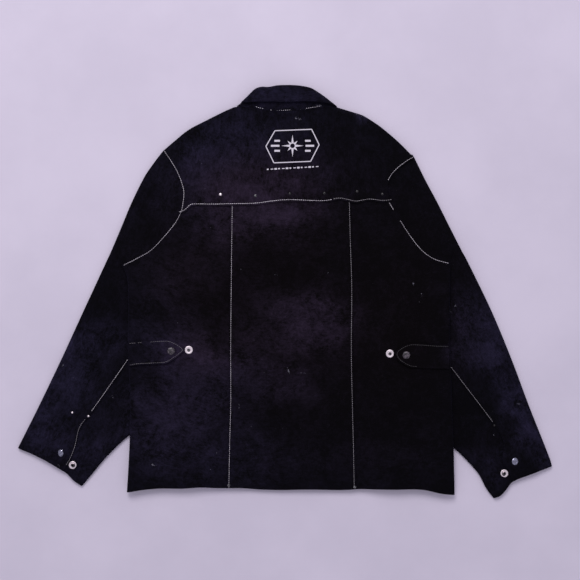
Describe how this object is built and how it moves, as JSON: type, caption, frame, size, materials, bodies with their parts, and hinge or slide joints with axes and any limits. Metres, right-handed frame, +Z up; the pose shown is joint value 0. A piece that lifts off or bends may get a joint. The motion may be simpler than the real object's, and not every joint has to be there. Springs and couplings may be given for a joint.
{
  "type": "leather welding jacket",
  "caption": "Suede welding jacket lying flat on its front, with a turned collar, yoked back, waist tabs and snap cuffs.",
  "frame": {"origin": "on the floor, under the middle of the bounding box of the jacket as it lies on its front", "axes": "+Z up from the floor through the back, +Y from the hem to the collar, +X to the wearer's right, along the span of the sleeves"},
  "size_m": [1.069, 0.825, 0.0291],
  "materials": {
    "black_suede": "suede",
    "cotton_lining": "matte",
    "nickel_snap": "polished",
    "black_lacquered_cap": "gloss"
  },
  "bodies": {
    "torso": {"back_centre_panel": "black_suede", "back_left_panel": "black_suede", "back_right_panel": "black_suede", "back_seam_rivets": "black_lacquered_cap", "back_yoke": "black_suede", "collar_stand": "black_suede", "front_left_facing": "black_suede", "front_left_panel": "black_suede", "front_right_facing": "black_suede", "front_right_panel": "black_suede", "front_snap_caps": "black_lacquered_cap", "front_snap_posts": "nickel_snap", "front_snap_sockets": "nickel_snap", "front_snap_studs": "nickel_snap", "inside_pocket_left": "black_suede", "inside_pocket_right": "black_suede", "sleeve_left_head": "black_suede", "sleeve_right_head": "black_suede", "waist_snap_posts": "nickel_snap", "waist_snap_studs": "nickel_snap", "waist_tab_left_anchor": "black_suede", "waist_tab_right_anchor": "black_suede", "yoke_lining": "cotton_lining", "yoke_rivets": "black_lacquered_cap"},
    "collar": {"collar_fall": "black_suede", "collar_fall_facing": "black_suede"},
    "waist_tab_left": {"waist_tab_left_backing": "black_suede", "waist_tab_left_cap": "black_lacquered_cap", "waist_tab_left_outer": "black_suede", "waist_tab_left_socket": "nickel_snap"},
    "waist_tab_right": {"waist_tab_right_backing": "black_suede", "waist_tab_right_cap": "black_lacquered_cap", "waist_tab_right_outer": "black_suede", "waist_tab_right_socket": "nickel_snap"},
    "sleeve_left": {"cuff_flap_left_anchor": "black_suede", "cuff_snap_posts_left": "nickel_snap", "cuff_snap_studs_left": "nickel_snap", "sleeve_left_outer": "black_suede", "sleeve_left_rivets": "black_lacquered_cap", "sleeve_left_under": "black_suede"},
    "sleeve_right": {"cuff_flap_right_anchor": "black_suede", "cuff_snap_posts_right": "nickel_snap", "cuff_snap_studs_right": "nickel_snap", "sleeve_right_outer": "black_suede", "sleeve_right_rivets": "black_lacquered_cap", "sleeve_right_under": "black_suede"},
    "cuff_flap_left": {"cuff_flap_left": "black_suede", "cuff_flap_left_cap": "black_lacquered_cap", "cuff_flap_left_socket": "nickel_snap"},
    "cuff_flap_right": {"cuff_flap_right": "black_suede", "cuff_flap_right_cap": "black_lacquered_cap", "cuff_flap_right_socket": "nickel_snap"}
  },
  "joints": [
    {"name": "collar_turn", "type": "hinge", "parent": "torso", "child": "collar", "pos_m": [0.005, 0.4125, 0.0216], "axis": [-1, 0, 0], "range_deg": [0, 150]},
    {"name": "waist_tab_left_lift", "type": "hinge", "parent": "torso", "child": "waist_tab_left", "pos_m": [-0.30565, -0.121, 0.0271], "axis": [0, -1, 0], "range_deg": [0, 115]},
    {"name": "waist_tab_right_lift", "type": "hinge", "parent": "torso", "child": "waist_tab_right", "pos_m": [0.32265, -0.1255, 0.0271], "axis": [0, 1, 0], "range_deg": [0, 115]},
    {"name": "sleeve_left_swing", "type": "hinge", "parent": "torso", "child": "sleeve_left", "pos_m": [-0.353, 0.07, 0.0055], "axis": [0, 0, -1], "range_deg": [0, 35]},
    {"name": "sleeve_right_swing", "type": "hinge", "parent": "torso", "child": "sleeve_right", "pos_m": [0.357, 0.071, 0.0055], "axis": [0, 0, 1], "range_deg": [0, 35]},
    {"name": "cuff_flap_left_lift", "type": "hinge", "parent": "sleeve_left", "child": "cuff_flap_left", "pos_m": [-0.39721, -0.24972, 0.0151], "axis": [-0.7972, -0.6037, 0], "range_deg": [0, 110]},
    {"name": "cuff_flap_right_lift", "type": "hinge", "parent": "sleeve_right", "child": "cuff_flap_right", "pos_m": [0.42026, -0.26976, 0.0151], "axis": [-0.6769, 0.7361, 0], "range_deg": [0, 110]}
  ]
}
